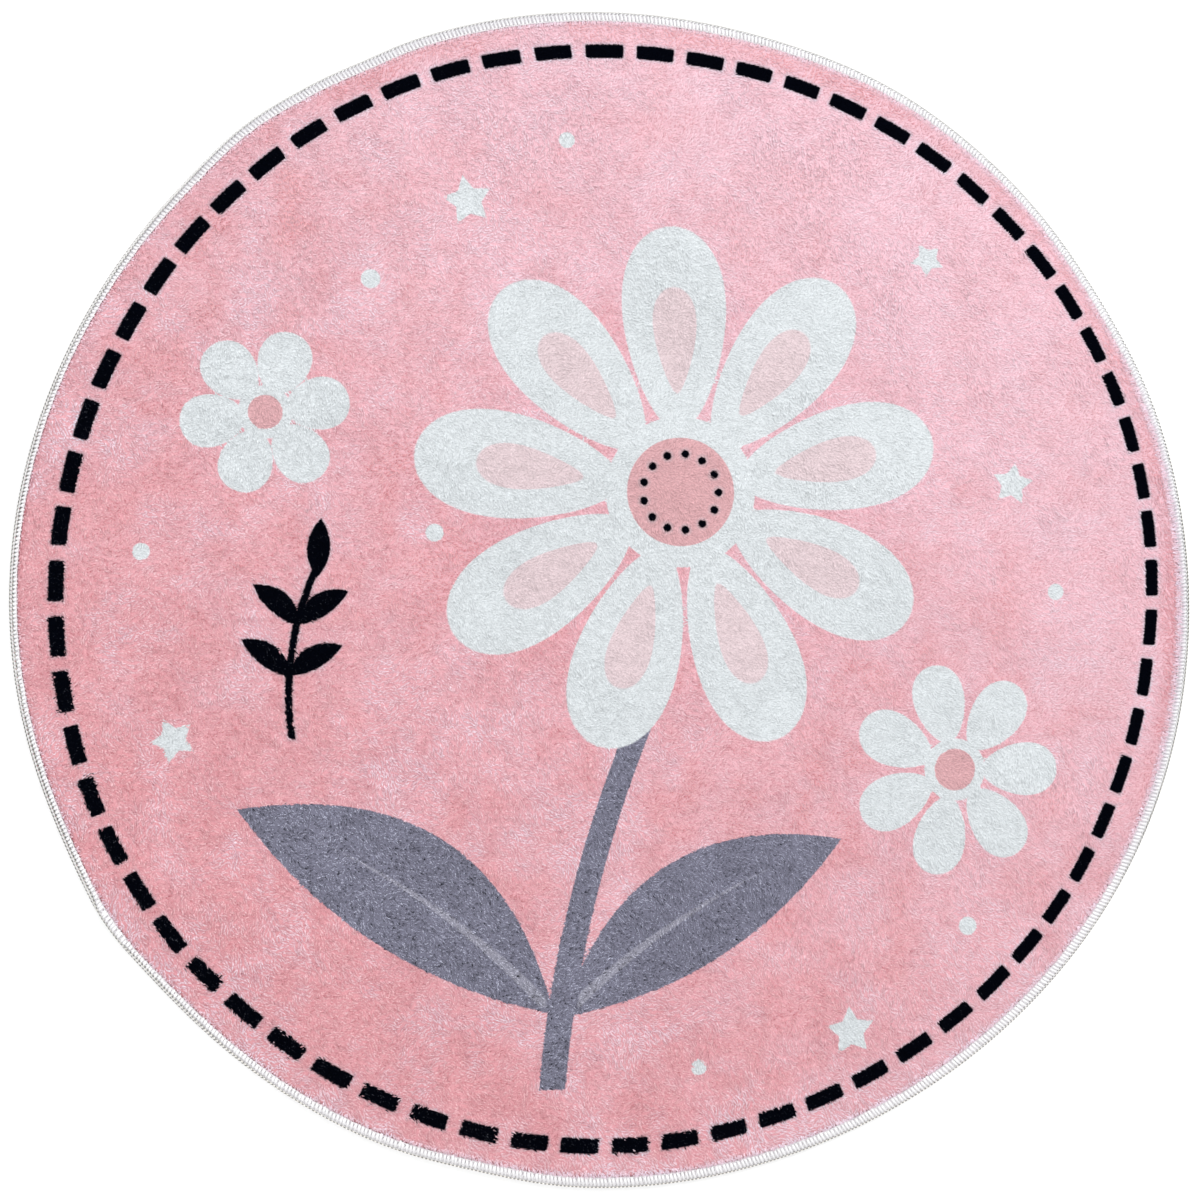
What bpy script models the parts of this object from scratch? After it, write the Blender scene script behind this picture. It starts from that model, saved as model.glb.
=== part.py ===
"""Round plush play rug, lying flat, with a serged (overlocked) thread edging round its rim.

Metres, +Z up. The origin is the centre of the underside: the middle of the rug's bounding box, at floor level.
The rug is one printed plush piece. Its rim is pressed thin inside the edging, which is a closed ring whose
section is a C open towards the centre. Both lie on the floor with flat undersides.
"""

import math

import bmesh
import bpy

# ---------------------------------------------------------------- driving dimensions, in metres and degrees
MEAN_RADIUS = 0.4983          # of the outer rim, edging included
STEPS_ROUND = 120             # sections round the rim, 3 degrees apart

# The hand-cut outline isn't a true circle. Each wave adds height * cos(lobes * (angle - peak)) to the radius.
WAVES = (
    # lobes, height,  peak
    (1, 0.00085, -15.4),
    (2, 0.00295, -8.5),
    (3, 0.00063, -20.8),
    (4, 0.00053, -2.2),
    (5, 0.00123, -30.3),
)
# Short flats and corners left by the cutter. Each adds out * exp(-((angle - at) / spread)^2).
CUT_SPOTS = (
    # at,     spread, out
    (-148.2, 6.4, 0.0038),
    (-104.8, 6.7, -0.0030),
    (32.5, 10.4, -0.0038),
    (62.4, 10.3, 0.0029),
    (116.2, 3.4, -0.0015),
    (129.5, 5.5, 0.0031),
)

# Heights above the floor
PILE_TOP = 0.0075             # tips of the brushed plush, as a solid
TONGUE_LOW, TONGUE_HIGH = 0.0015, 0.0044   # the rim where the thread squeezes it
GAP = 0.0003                  # clearance between the rug's rim and the edging

# Rug section, from the middle of the underside outwards and back over the top. inset is measured inwards
# from the outline.
RUG_SECTION = (
    # inset,  height
    (0.0105, 0.0),                    # underside ends
    (0.0094, TONGUE_LOW),             # step up over the edging's lower lip
    (0.0026, TONGUE_LOW),
    (0.0022, 0.00295),                # cut rim, slightly bulged
    (0.0026, TONGUE_HIGH),
    (0.0095, TONGUE_HIGH),            # out from under the upper lip
    (0.0099, 0.0061),                 # pile stands up beside the thread
    (0.0120, 0.0071),
    (0.0165, PILE_TOP),
)

# Edging section, a closed C. The opening faces the centre of the rug.
EDGING_SECTION = (
    # inset,  height
    (0.0092, 0.0),                    # lower lip, on the floor
    (0.0023, 0.0),
    (0.0007, 0.0008),
    (0.0, 0.0028),                    # outermost line
    (0.0006, 0.0050),
    (0.0028, 0.0063),
    (0.0062, 0.0064),                 # top of the wrapped thread
    (0.0090, 0.0057),                 # upper lip's inner end
    (0.0092, TONGUE_HIGH + GAP),
    (0.0024, TONGUE_HIGH + GAP),
    (0.0022 - GAP, 0.00295),          # bottom of the C
    (0.0024, TONGUE_LOW - GAP),
    (0.0090, TONGUE_LOW - GAP),
)

# Rings of the pile's surface inside the section: share of the way out, and sections round.
PILE_RINGS = (
    # share, sections
    (0.90, 120),
    (0.80, 60),
    (0.66, 60),
    (0.50, 30),
    (0.34, 30),
    (0.17, 15),
)

# Low swells and hollows of the cloth as it lies. rise falls off as a bell curve of this spread.
SWELLS = (
    # x,      y,      spread, rise
    (-0.270, 0.010, 0.060, 0.00045),
    (-0.205, -0.075, 0.055, -0.00035),
    (-0.300, -0.215, 0.070, 0.00035),
    (-0.110, 0.330, 0.080, 0.00030),
    (0.060, 0.210, 0.075, -0.00030),
    (0.300, 0.150, 0.080, 0.00035),
    (0.250, -0.190, 0.080, -0.00030),
    (0.010, -0.090, 0.090, 0.00025),
    (-0.060, -0.370, 0.060, 0.00030),
)

PINK = (0.800, 0.440, 0.500)
WHITE = (0.840, 0.815, 0.840)


# ---------------------------------------------------------------- shape
def outline_radius(angle):
    """Distance of the outer rim from the cutting centre, at an angle in degrees from +X."""
    radius = MEAN_RADIUS
    for lobes, height, peak in WAVES:
        radius += height * math.cos(math.radians(lobes * (angle - peak)))
    for at, spread, out in CUT_SPOTS:
        away = (angle - at + 180.0) % 360.0 - 180.0
        radius += out * math.exp(-((away / spread) ** 2))
    return radius


def bounding_middle():
    """Middle of the outline's bounding box, which becomes the origin."""
    xs, ys = [], []
    for step in range(STEPS_ROUND):
        angle = 360.0 * step / STEPS_ROUND
        turn = math.radians(angle)
        xs.append(outline_radius(angle) * math.cos(turn))
        ys.append(outline_radius(angle) * math.sin(turn))
    return (min(xs) + max(xs)) / 2, (min(ys) + max(ys)) / 2


MIDDLE = bounding_middle()


def at_rim(angle, inset, share=1.0):
    """Plan position on the line towards the rim, inset inwards from it, or only a share of the way out."""
    radius = (outline_radius(angle) - inset) * share
    turn = math.radians(angle)
    return radius * math.cos(turn) - MIDDLE[0], radius * math.sin(turn) - MIDDLE[1]


def swell(x, y):
    rise = 0.0
    for cx, cy, spread, height in SWELLS:
        rise += height * math.exp(-((x - cx) ** 2 + (y - cy) ** 2) / (2 * spread**2))
    return rise


def ring_of(bm, section_point, count=STEPS_ROUND):
    """One loop of vertices round the rug at a section point."""
    inset, height = section_point
    made = []
    for step in range(count):
        x, y = at_rim(360.0 * step / count, inset)
        made.append(bm.verts.new((x, y, height)))
    return made


def skirt(bm, inner, outer):
    """Joins two loops that follow each other along a section. The outer one may have twice the vertices."""
    n, ratio = len(inner), len(outer) // len(inner)
    for i in range(n):
        j = (i + 1) % n
        if ratio == 1:
            bm.faces.new((inner[i], outer[i], outer[j], inner[j]))
        else:
            a, b, c = outer[2 * i], outer[2 * i + 1], outer[(2 * i + 2) % len(outer)]
            bm.faces.new((inner[i], a, b))
            bm.faces.new((inner[i], b, inner[j]))
            bm.faces.new((inner[j], b, c))


def new_object(name, bm, colour, roughness):
    bmesh.ops.recalc_face_normals(bm, faces=bm.faces[:])
    mesh = bpy.data.meshes.new(name)
    bm.to_mesh(mesh)
    bm.free()
    mesh.shade_smooth()
    mesh.set_sharp_from_angle(angle=math.radians(40))
    thing = bpy.data.objects.new(name, mesh)
    bpy.context.scene.collection.objects.link(thing)
    material = bpy.data.materials.new(name)
    material.use_nodes = True
    surface = material.node_tree.nodes["Principled BSDF"]
    surface.inputs["Base Color"].default_value = (*colour, 1.0)
    surface.inputs["Roughness"].default_value = roughness
    surface.inputs["Metallic"].default_value = 0.0
    mesh.materials.append(material)
    return thing


def make_rug():
    bm = bmesh.new()
    loops = [ring_of(bm, point) for point in RUG_SECTION]
    bm.faces.new(reversed(loops[0]))                      # flat underside
    for low, high in zip(loops, loops[1:]):
        skirt(bm, low, high)
    outer = loops[-1]
    inset, height = RUG_SECTION[-1]
    for share, count in PILE_RINGS:
        inner = []
        for step in range(count):
            x, y = at_rim(360.0 * step / count, inset, share)
            inner.append(bm.verts.new((x, y, height + swell(x, y))))
        skirt(bm, inner, outer)
        outer = inner
    x, y = at_rim(0.0, 0.0, 0.0)
    crown = bm.verts.new((x, y, height + swell(x, y)))
    for i in range(len(outer)):
        bm.faces.new((crown, outer[i], outer[(i + 1) % len(outer)]))
    return new_object("rug", bm, PINK, 0.95)


def make_edging():
    bm = bmesh.new()
    loops = [ring_of(bm, point) for point in EDGING_SECTION]
    for i in range(len(loops)):
        skirt(bm, loops[i], loops[(i + 1) % len(loops)])
    return new_object("overlock_edging", bm, WHITE, 0.85)


for old in list(bpy.data.objects):
    bpy.data.objects.remove(old, do_unlink=True)
make_rug()
make_edging()
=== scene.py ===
"""Looks of the round plush play rug: printed pile, serged thread edging, floor, light and camera.

Metres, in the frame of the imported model. The rug lies on the floor, +X to the right and +Y up as seen from above.
The pile is a joined mesh of short leaning tufts, and every thread of the edging is a tube of its own.
"""

import math

import bpy
import numpy as np
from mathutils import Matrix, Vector


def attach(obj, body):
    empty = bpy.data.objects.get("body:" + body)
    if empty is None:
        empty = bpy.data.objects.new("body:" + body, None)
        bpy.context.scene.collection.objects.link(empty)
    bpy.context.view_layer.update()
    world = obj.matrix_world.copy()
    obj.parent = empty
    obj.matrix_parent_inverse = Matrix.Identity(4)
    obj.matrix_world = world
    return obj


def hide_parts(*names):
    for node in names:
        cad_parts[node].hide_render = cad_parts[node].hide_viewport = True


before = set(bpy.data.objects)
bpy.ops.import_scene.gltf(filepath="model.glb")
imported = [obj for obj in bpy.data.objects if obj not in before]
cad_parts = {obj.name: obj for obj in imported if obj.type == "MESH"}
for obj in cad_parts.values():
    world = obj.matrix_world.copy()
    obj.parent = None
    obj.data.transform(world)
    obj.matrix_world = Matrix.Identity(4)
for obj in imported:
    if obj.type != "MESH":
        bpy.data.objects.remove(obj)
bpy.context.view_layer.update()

# ---------------------------------------------------------------- outline, as the CAD source has it
MEAN_RADIUS = 0.4983
WAVES = (
    # lobes, height,  peak
    (1, 0.00085, -15.4),
    (2, 0.00295, -8.5),
    (3, 0.00063, -20.8),
    (4, 0.00053, -2.2),
    (5, 0.00123, -30.3),
)
CUT_SPOTS = (
    # at,     spread, out
    (-148.2, 6.4, 0.0038),
    (-104.8, 6.7, -0.0030),
    (32.5, 10.4, -0.0038),
    (62.4, 10.3, 0.0029),
    (116.2, 3.4, -0.0015),
    (129.5, 5.5, 0.0031),
)
SWELLS = (
    # x,      y,      spread, rise
    (-0.270, 0.010, 0.060, 0.00045),
    (-0.205, -0.075, 0.055, -0.00035),
    (-0.300, -0.215, 0.070, 0.00035),
    (-0.110, 0.330, 0.080, 0.00030),
    (0.060, 0.210, 0.075, -0.00030),
    (0.300, 0.150, 0.080, 0.00035),
    (0.250, -0.190, 0.080, -0.00030),
    (0.010, -0.090, 0.090, 0.00025),
    (-0.060, -0.370, 0.060, 0.00030),
)


def outline_radius(angle):
    """Distance of the outer rim from the cutting centre, at angles in degrees from +X."""
    angle = np.asarray(angle, float)
    radius = np.full(angle.shape, MEAN_RADIUS)
    for lobes, height, peak in WAVES:
        radius = radius + height * np.cos(np.radians(lobes * (angle - peak)))
    for at, spread, out in CUT_SPOTS:
        away = (angle - at + 180.0) % 360.0 - 180.0
        radius = radius + out * np.exp(-((away / spread) ** 2))
    return radius


_steps = 360.0 * np.arange(120) / 120
_xs = outline_radius(_steps) * np.cos(np.radians(_steps))
_ys = outline_radius(_steps) * np.sin(np.radians(_steps))
MIDDLE = ((_xs.min() + _xs.max()) / 2, (_ys.min() + _ys.max()) / 2)


def at_rim(angle, inset, share=1.0):
    """Plan position on the line towards the rim at angles in degrees, inset inwards from it."""
    radius = (outline_radius(angle) - inset) * share
    turn = np.radians(angle)
    return radius * np.cos(turn) - MIDDLE[0], radius * np.sin(turn) - MIDDLE[1]


def inset_of(x, y):
    """How far inside the outline a point lies."""
    px, py = x + MIDDLE[0], y + MIDDLE[1]
    return outline_radius(np.degrees(np.arctan2(py, px))) - np.hypot(px, py)


def away_from(angle, at):
    return np.abs((angle - at + 180.0) % 360.0 - 180.0)


def bell(angle, at, spread):
    return np.exp(-((away_from(angle, at) / spread) ** 2))


def angle_of(x, y):
    return np.degrees(np.arctan2(y + MIDDLE[1], x + MIDDLE[0]))


def thread_end(angle):
    """How far in from the outline the thread shows: the pile stands over its inner end, most of all at the left."""
    return (
        0.0099
        - 0.0024 * bell(angle, 163.0, 32.0)
        - 0.0014 * bell(angle, -135.0, 30.0)
        - 0.0008 * bell(angle, -146.0, 5.0)
        - 0.0007 * bell(angle, 42.0, 28.0)
        + 0.0007 * bell(angle, 118.0, 18.0)
        + 0.0003 * bell(angle, 86.0, 16.0)
    )


def looseness(angle):
    """How much pile falls out over the thread, 0 to 1: most at the right, a little at the bottom, none at the left."""
    loose = 0.16 + 0.84 * bell(angle, 1.0, 27.0) + 0.34 * bell(angle, -98.0, 26.0) + 0.08 * bell(angle, 40.0, 30.0)
    return np.minimum(loose * (1.0 - bell(angle, 168.0, 45.0)), 1.0)


def rim_shade(angle, inset):
    """How much painted shade darkens the pile in a band by the rim, where it stands away from the light. Right by the
    thread painted light makes it paler again, where its tips catch the light, but at the left painted shade dips there
    in the crevice."""
    band = np.clip((0.030 - inset) / 0.012, 0.0, 1.0)
    dark = (
        0.135 * bell(angle, -1.0, 20.0)
        + 0.045 * bell(angle, 150.0, 24.0)
        + 0.030 * bell(angle, 120.0, 14.0)
        + 0.025 * bell(angle, 60.0, 14.0)
        + 0.078 * bell(angle, 61.0, 8.0)
        - 0.020 * bell(angle, 90.0, 14.0)
        - 0.058 * bell(angle, -96.0, 42.0)
        - 0.072 * bell(angle, -101.0, 14.0)
        - 0.020 * bell(angle, -119.0, 11.0)
        - 0.030 * bell(angle, 180.0, 12.0)
    )
    # painted light on the pile just inside the thread
    near = np.clip((0.0142 - 0.0014 * bell(angle, 0.0, 20.0) - inset) / 0.0040, 0.0, 1.0)
    near = near * (0.055 * (1.0 - bell(angle, -112.0, 50.0)) + 0.075 * bell(angle, 45.0, 60.0))
    # painted light on the ridge of pile tips along the thread
    painted_ridge_light = np.exp(-(((inset - thread_end(angle) - 0.0003) / 0.0011) ** 2))
    # painted shade in the crevice beside the thread at the left
    painted_hollow_shade = 0.38 * bell(angle, -176.0, 40.0) * np.exp(-(((inset - thread_end(angle) - 0.0014) / 0.0012) ** 2))
    return band * dark + painted_hollow_shade - near - painted_ridge_light * (0.10 * bell(angle, 70.0, 75.0) + 0.05 * bell(angle, 0.0, 22.0))


# ---------------------------------------------------------------- smooth noise from a seeded lattice
def noise(x, y, cell, seed):
    """Smooth noise from -1 to 1 whose bumps are about cell metres wide."""
    n = int(1.3 / cell) + 4
    lattice = np.random.default_rng(seed).uniform(-1.0, 1.0, (n, n))
    u, v = (x + 0.62) / cell, (y + 0.62) / cell
    i, j = np.floor(u).astype(int), np.floor(v).astype(int)
    fu, fv = u - i, v - j
    fu = fu * fu * fu * (fu * (fu * 6 - 15) + 10)
    fv = fv * fv * fv * (fv * (fv * 6 - 15) + 10)
    i, j = np.clip(i, 0, n - 2), np.clip(j, 0, n - 2)
    low = lattice[i, j] * (1 - fu) + lattice[i + 1, j] * fu
    high = lattice[i, j + 1] * (1 - fu) + lattice[i + 1, j + 1] * fu
    return 1.35 * (low * (1 - fv) + high * fv)


# ---------------------------------------------------------------- one formula for numbers and for shader nodes
class Wire:
    """A float socket in a node tree. Arithmetic with it makes Math nodes."""

    def __init__(self, tree, socket):
        self.tree, self.socket = tree, socket

    def __add__(self, other):
        return _node("ADD", self, other)

    __radd__ = __add__

    def __sub__(self, other):
        return _node("SUBTRACT", self, other)

    def __rsub__(self, other):
        return _node("SUBTRACT", other, self)

    def __mul__(self, other):
        return _node("MULTIPLY", self, other)

    __rmul__ = __mul__

    def __truediv__(self, other):
        return _node("DIVIDE", self, other)

    def __neg__(self):
        return _node("MULTIPLY", self, -1.0)


def _node(kind, *parts, clamp=False):
    tree = next(p.tree for p in parts if isinstance(p, Wire))
    node = tree.nodes.new("ShaderNodeMath")
    node.operation = kind
    node.use_clamp = clamp
    for k, part in enumerate(parts):
        if isinstance(part, Wire):
            tree.links.new(part.socket, node.inputs[k])
        else:
            node.inputs[k].default_value = float(part)
    return Wire(tree, node.outputs[0])


def _either(kind, numbers):
    def work(*parts):
        if any(isinstance(p, Wire) for p in parts):
            return _node(kind, *parts)
        return numbers(*parts)

    return work


root_of = _either("SQRT", np.sqrt)
cosine = _either("COSINE", np.cos)
sine = _either("SINE", np.sin)
size_of = _either("ABSOLUTE", np.abs)
least = _either("MINIMUM", np.minimum)
most = _either("MAXIMUM", np.maximum)
heading = _either("ARCTAN2", np.arctan2)
nearest = _either("ROUND", np.round)


def cover(distance, soft):
    """1 inside a shape, 0 outside, over a soft edge."""
    t = 0.5 - distance / (2 * soft)
    if isinstance(t, Wire):
        return _node("MULTIPLY", t, 1.0, clamp=True)
    return np.clip(t, 0.0, 1.0)


# ---------------------------------------------------------------- the print
# Running-stitch ring near the rim
RING_MIDDLE = (0.00079, 0.00164)
RING_RADIUS = 0.46364
RING_DASHES = 67
RING_FIRST = math.radians(1.455)
RING_OUT = (
    # lobes, height,  peak
    (2, 0.00242, 15.6),
    (3, 0.00064, 21.6),
    (4, 0.00082, 34.1),
    (5, 0.00070, -28.0),
    (6, 0.00030, 18.7),
    (7, 0.00044, 9.4),
)
RING_ALONG = (
    # lobes, degrees, peak
    (1, 0.155, -93.0),
    (2, 0.122, -6.2),
    (3, 0.180, -15.0),
    (4, 0.074, 4.6),
    (5, 0.095, -30.7),
    (6, 0.141, 9.2),
    (7, 0.070, 2.2),
    (9, 0.043, -0.3),
)
DASH_LONG, DASH_WIDE, DASH_CORNER = 0.0322, 0.01232, 0.0016
DASH_WIDER = (
    # lobes, extra, peak
    (1, 0.00063, -143.5),
    (2, 0.00030, 87.0),
    (3, 0.00030, 37.0),
)

# Flowers: rings of petals. push is how much wider a petal is at its outer end.
FLOWERS = (
    # x,      y,      petals, turn, reach, long,  wide,  push
    (0.045, 0.088, 9, 12.0, 0.139, 0.087, 0.0435, 0.26),
    (0.285, -0.150, 7, 0.0, 0.058, 0.034, 0.0225, 0.22),
    (-0.300, 0.150, 6, 10.0, 0.043, 0.026, 0.0215, 0.15),
)
HUBS = (
    # x,      y,      radius, kind (0 white, 1 pink)
    (0.045, 0.088, 0.064, 0),
    (0.045, 0.088, 0.046, 1),
    (0.285, -0.150, 0.027, 0),
    (0.285, -0.150, 0.018, 1),
    (-0.300, 0.150, 0.022, 0),
    (-0.300, 0.150, 0.014, 1),
)
# A row of seeds round the big flower's middle
SEEDS = (0.045, 0.088, 13, 0.0325, 0.0036)
# Stem: x follows a bent line between two heights
STEM = (0.022, -0.064, 0.060, -0.412, -0.080, 0.0105)   # x at top, x at foot, bow, foot y, top y, half width
LEAVES = (
    # x,      y,      angle,  half long, half wide, bend
    (-0.192, -0.262, 146.0, 0.156, 0.050, -0.020),
    (0.064, -0.280, 31.0, 0.140, 0.045, 0.016),
)
SPRIG_STALK = (-0.2675, -0.047, 82.0, 0.0720, 0.0031, 0.0105)
SPRIG = (
    # x,      y,      angle,  half long, half wide, bend
    (-0.2905, -0.0085, 138.0, 0.0255, 0.0095, -0.003),
    (-0.2530, -0.0105, 34.0, 0.0255, 0.0095, 0.003),
    (-0.2985, -0.0520, 142.0, 0.0255, 0.0095, -0.003),
    (-0.2590, -0.0540, 30.0, 0.0255, 0.0095, 0.003),
    (-0.2565, 0.0385, 86.0, 0.0250, 0.0095, 0.0),
)
STARS = (
    # x,      y,      turn, radius
    (-0.135, 0.330, 12.0, 0.0190),
    (0.338, 0.098, -8.0, 0.0165),
    (-0.372, -0.118, 25.0, 0.0165),
    (0.192, -0.372, 5.0, 0.0190),
    (0.262, 0.292, 30.0, 0.0130),
)
SPOTS = (
    # x,      y,      radius
    (-0.215, 0.262, 0.0080),
    (-0.052, 0.384, 0.0068),
    (0.377, 0.004, 0.0072),
    (0.296, -0.285, 0.0080),
    (-0.398, 0.035, 0.0070),
    (0.060, -0.398, 0.0064),
    (-0.162, 0.052, 0.0075),
)


def rounded_box(along, across, half_long, half_wide, corner):
    dx = size_of(along) - (half_long - corner)
    dy = size_of(across) - (half_wide - corner)
    ox, oy = most(dx, 0.0), most(dy, 0.0)
    return root_of(ox * ox + oy * oy) + least(most(dx, dy), 0.0) - corner


def folded(x, y, middle, count, turn):
    """Distance from a middle and angle from the nearest of count spokes."""
    dx, dy = x - middle[0], y - middle[1]
    step = 2 * math.pi / count
    around = (heading(dy, dx) - math.radians(turn)) / step
    return root_of(dx * dx + dy * dy), (around - nearest(around)) * step


def dash_ring(x, y):
    dx, dy = x - RING_MIDDLE[0], y - RING_MIDDLE[1]
    turn, out = heading(dy, dx), root_of(dx * dx + dy * dy)
    radius, drift = RING_RADIUS, RING_FIRST
    for lobes, height, peak in RING_OUT:
        radius = cosine(lobes * (turn - math.radians(peak))) * height + radius
    for lobes, degrees, peak in RING_ALONG:
        drift = cosine(lobes * (turn - math.radians(peak))) * math.radians(degrees) + drift
    step = 2 * math.pi / RING_DASHES
    count = (turn - drift) / step
    number = nearest(count)
    along = (count - number) * step * RING_RADIUS
    across = out - radius
    wide = DASH_WIDE / 2
    for lobes, extra, peak in DASH_WIDER:
        wide = cosine(lobes * (turn - math.radians(peak))) * (extra / 2) + wide
    # each dash a little longer or shorter and turned, as the print and the combed pile leave them
    uneven = sine(number * 2.7) + sine(number * 1.3)
    along = along + across * (uneven * 0.022)
    across = across + along * (sine(number * 1.9) * 0.012)
    return rounded_box(along, across, uneven * 0.0003 + DASH_LONG / 2, wide, DASH_CORNER)


def petals(x, y, flower, shrink=0.0, inner=0.0):
    fx, fy, count, turn, reach, long, wide, push = flower
    out, side = folded(x, y, (fx, fy), count, turn)
    u = (out * cosine(side) - (reach + inner)) / (long - shrink)
    v = out * sine(side) / (u * push + 1.0)
    v = v / (wide - shrink)
    return (root_of(u * u + v * v) - 1.0) * wide


def petal_drops(x, y, flower):
    """Slim drops on the petals, pointed towards the middle."""
    fx, fy, count, turn, reach, long, wide, push = flower
    out, side = folded(x, y, (fx, fy), count, turn)
    u = (out * cosine(side) - (reach - 0.010)) / (long * 0.52)
    v = out * sine(side) / (wide * 0.40) / (u * 0.45 + 1.0)
    return (root_of(u * u + v * v) - 1.0) * (wide * 0.40)


def leaf(x, y, row):
    lx, ly, angle, half_long, half_wide, bend = row
    c, s = math.cos(math.radians(angle)), math.sin(math.radians(angle))
    dx, dy = x - lx, y - ly
    u = (dx * c + dy * s) / half_long
    v = dy * c - dx * s
    uu = u * u
    return size_of(v - bend * (1 - uu)) - half_wide * (1 - uu)


def stalk(x, y, row):
    """Bent band of even width with blunt ends."""
    lx, ly, angle, half_long, half_wide, bend = row
    c, s = math.cos(math.radians(angle)), math.sin(math.radians(angle))
    dx, dy = x - lx, y - ly
    u = (dx * c + dy * s) / half_long
    v = dy * c - dx * s
    return most(size_of(v - bend * (1 - u * u)) - half_wide, (size_of(u) - 1) * half_long)


def leaf_rib(x, y, row):
    """Midrib of a leaf, fading out towards its tip."""
    lx, ly, angle, half_long, half_wide, bend = row
    c, s = math.cos(math.radians(angle)), math.sin(math.radians(angle))
    dx, dy = x - lx, y - ly
    u = (dx * c + dy * s) / half_long
    v = dy * c - dx * s
    uu = u * u
    return size_of(v - bend * (1 - uu)) - 0.0024 * (1.0 - u * 1.35 - 0.2)


def disc(x, y, dx, dy, radius):
    ax, ay = x - dx, y - dy
    return root_of(ax * ax + ay * ay) - radius


def star(x, y, row):
    sx, sy, turn, radius = row
    out, side = folded(x, y, (sx, sy), 5, turn + 90.0)
    inner = radius * 0.52
    step = math.pi / 5
    nx, ny = inner * math.sin(step), radius - inner * math.cos(step)
    length = math.hypot(nx, ny)
    return (out * cosine(side) - radius) * (nx / length) + size_of(out * sine(side)) * (ny / length) - 0.0012


def stem(x, y):
    top_x, foot_x, bow, foot_y, top_y, half = STEM
    t = (y - foot_y) / (top_y - foot_y)
    line = foot_x + (top_x - foot_x) * t + bow * (t * t - t)
    slant = 0.95
    return most(size_of(x - line) * slant - half, most(y - top_y, foot_y - y))


def lowest_of(parts):
    found = parts[0]
    for part in parts[1:]:
        found = least(found, part)
    return found


# Colours of the dyed pile, as linear light
PINK_DEEP = (0.756, 0.396, 0.430)
PINK_PALE = (0.798, 0.566, 0.638)
WHITE_PILE = (0.711, 0.747, 0.769)
GREY_PILE = (0.222, 0.221, 0.292)
GREY_RIB = (0.345, 0.342, 0.415)
BLUSH = (0.750, 0.618, 0.645)
MID_PINK = (0.705, 0.418, 0.442)
FROST = (0.828, 0.715, 0.832)
HALO = (0.865, 1.035, 1.045)      # tints the ground beside the dark prints
NEAR_BLACK = (0.0004, 0.0009, 0.0032)
GREY_GLINT = (0.520, 0.540, 0.640)
HALO_WIDE = 0.0016


def print_shapes(x, y):
    """How far a point of the cloth is outside each colour's shapes, negative inside."""
    leaves = lowest_of([leaf(x, y, row) for row in LEAVES])
    middle = stem(x, y)
    ribs = lowest_of([leaf_rib(x, y, row) for row in LEAVES])
    white = lowest_of(
        [petals(x, y, row) for row in FLOWERS]
        + [disc(x, y, hx, hy, r) for hx, hy, r, kind in HUBS if kind == 0]
        + [star(x, y, row) for row in STARS]
        + [disc(x, y, *row) for row in SPOTS]
    )
    seed_x, seed_y, seed_count, seed_reach, seed_radius = SEEDS
    out, side = folded(x, y, (seed_x, seed_y), seed_count, 0.0)
    su, sv = out * cosine(side) - seed_reach, out * sine(side)
    seeds = root_of(su * su + sv * sv) - seed_radius
    sprig = lowest_of([leaf(x, y, row) for row in SPRIG] + [stalk(x, y, SPRIG_STALK)])
    return {
        "grey": least(middle, leaves),
        "rib": most(most(ribs, leaves + 0.004), 0.002 - middle),
        "white": white,
        "blush": petal_drops(x, y, FLOWERS[0]),
        "hub": lowest_of([disc(x, y, hx, hy, r) for hx, hy, r, kind in HUBS if kind == 1]),
        "dark": least(least(seeds, sprig), dash_ring(x, y)),
    }


LAYERS = (
    # shape, dye, how much wider than the shape, how much softer its edge
    ("grey", GREY_PILE, 0.0, 1.0),
    ("rib", GREY_RIB, 0.0, 1.0),
    ("white", WHITE_PILE, 0.0, 1.0),
    ("blush", BLUSH, 0.0, 1.0),
    ("hub", MID_PINK, 0.0, 1.0),
    ("dark", HALO, HALO_WIDE, 3.6),
    ("dark", NEAR_BLACK, 0.0, 1.4),
)


def paleness(x, y):
    """Share of the paler pink. Its drift to paler towards the upper right is painted light, where the nap's lie meets
    the light; the band at the rim is painted shade and light by side, and the patches are random.
    """
    angle, inset = angle_of(x, y), inset_of(x, y)
    # painted light: paler towards the upper right
    drift = np.clip(0.5 + (x * 0.6 + y * 0.8) / 0.84, 0.0, 1.0)
    left = np.clip(0.5 - (x * 0.8 + y * 0.6) / 0.7, 0.0, 1.0)
    patches = 0.14 * noise(x, y, 0.085, 15) + 0.19 * noise(x, y, 0.034, 16) + 0.19 * noise(x, y, 0.014, 17)
    band = np.clip((0.034 - inset) / 0.018, 0.0, 1.0)
    band = band * band * (3 - 2 * band)
    # painted shade and light on the band by the rim, by side of the rug
    turned = (
        -0.52 * np.cos(np.radians(angle - 58.0))
        - 0.50 * bell(angle, -2.0, 18.0)
        - 0.40 * bell(angle, -9.0, 11.0)
        - 0.28 * bell(angle, 126.0, 20.0)
        - 0.30 * bell(angle, 117.0, 12.0)
        - 0.25 * bell(angle, 66.0, 18.0)
        - 0.12 * bell(angle, -73.0, 11.0)
        - 0.12 * bell(angle, -142.0, 11.0)
    )
    deeper = 0.24 * np.exp(-((x - 0.17) ** 2 + (y + 0.14) ** 2) / 0.11**2)
    return np.clip(0.14 + 0.73 * drift - deeper + (0.75 + 1.15 * left) * patches + band * turned, 0.0, 1.0)


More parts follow.
